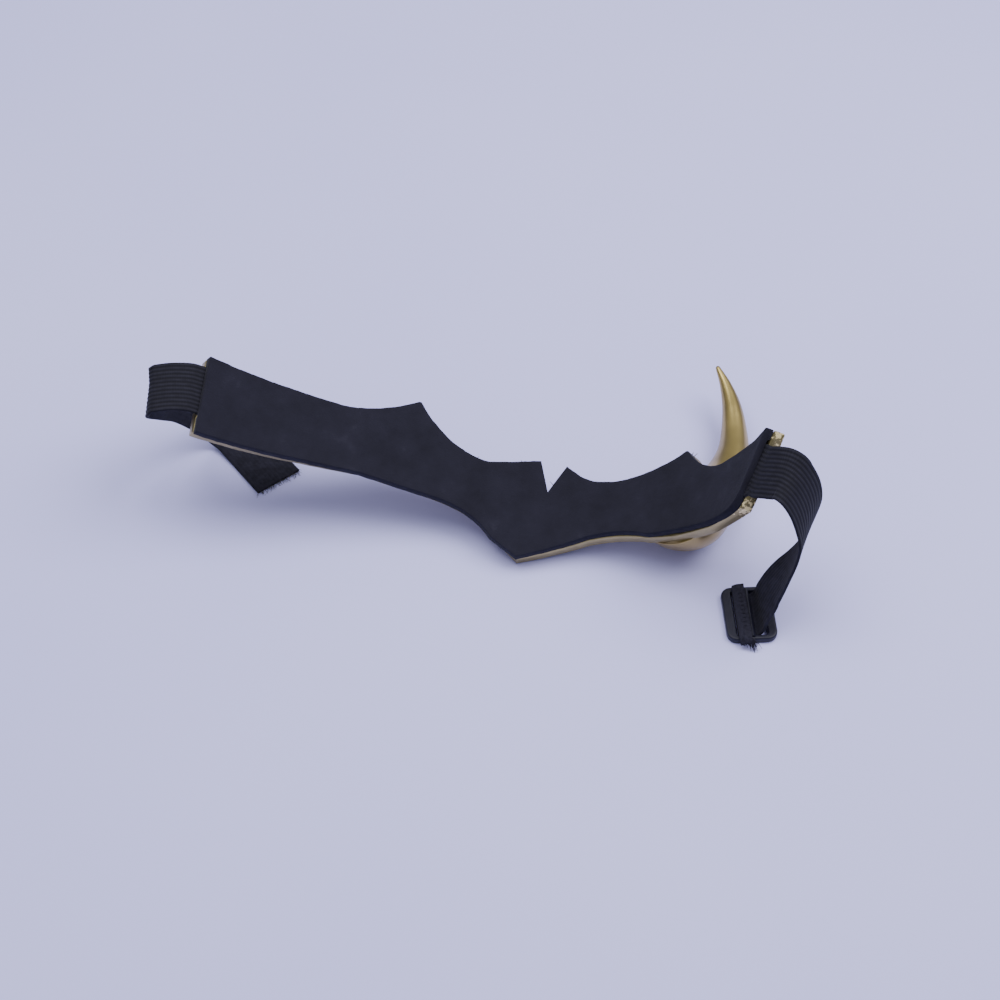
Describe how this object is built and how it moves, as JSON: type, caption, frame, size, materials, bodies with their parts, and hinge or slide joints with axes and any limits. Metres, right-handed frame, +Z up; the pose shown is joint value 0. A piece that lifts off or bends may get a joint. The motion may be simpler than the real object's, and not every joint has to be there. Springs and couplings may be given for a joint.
{
  "type": "horned forehead band",
  "caption": "Curved forehead band: gold shell with a black lining, one curved horn, an elastic strap at each end and a plastic slider that closes it behind the head.",
  "frame": {"origin": "middle of the part's footprint, on the surface that it lies on", "axes": "+Z up from that surface, +X along the band towards the wearer's right, +Y towards the band's top edge"},
  "size_m": [0.3173, 0.1604, 0.0878],
  "materials": {
    "gold_shell": "satin gold paint over stiff foam, worn at the end corners",
    "gold_horn": "smooth satin gold paint",
    "black_lining": "matt black napped lining with raw cut edges",
    "black_elastic": "ribbed woven elastic, cut ends frayed",
    "black_thread": "black sewing thread",
    "black_plastic": "glossy moulded black plastic"
  },
  "bodies": {
    "band": {"shell": "gold_shell", "lining": "black_lining", "horn": "gold_horn", "strap_left_anchor": "black_elastic", "strap_right_anchor": "black_elastic"},
    "left_root": {"strap_left_root": "black_elastic"},
    "left_tail": {"strap_left_tail": "black_elastic"},
    "right_strap": {"strap_right": "black_elastic", "tack_thread": "black_thread"},
    "slider": {"slider": "black_plastic"}
  },
  "joints": [
    {"name": "left_strap_root", "type": "hinge", "parent": "band", "child": "left_root", "pos_m": [-0.133, 0.0193, 0.0684], "axis": [0.11, 0.9463, 0.3041], "range_deg": [-10, 60]},
    {"name": "left_strap_fold", "type": "hinge", "parent": "left_root", "child": "left_tail", "pos_m": [-0.1538, 0.0178, 0.0707], "axis": [-0.0501, 0.9524, 0.3008], "range_deg": [0, 100]},
    {"name": "right_strap_root", "type": "hinge", "parent": "band", "child": "right_strap", "pos_m": [0.1283, -0.0332, 0.0705], "axis": [0.387, 0.676, 0.627], "range_deg": [-80, 5]},
    {"name": "slider_swing", "type": "hinge", "parent": "right_strap", "child": "slider", "pos_m": [0.1283, -0.0643, 0.0032], "axis": [-0.0523, 0.9986, 0], "range_deg": [0, 90]}
  ]
}
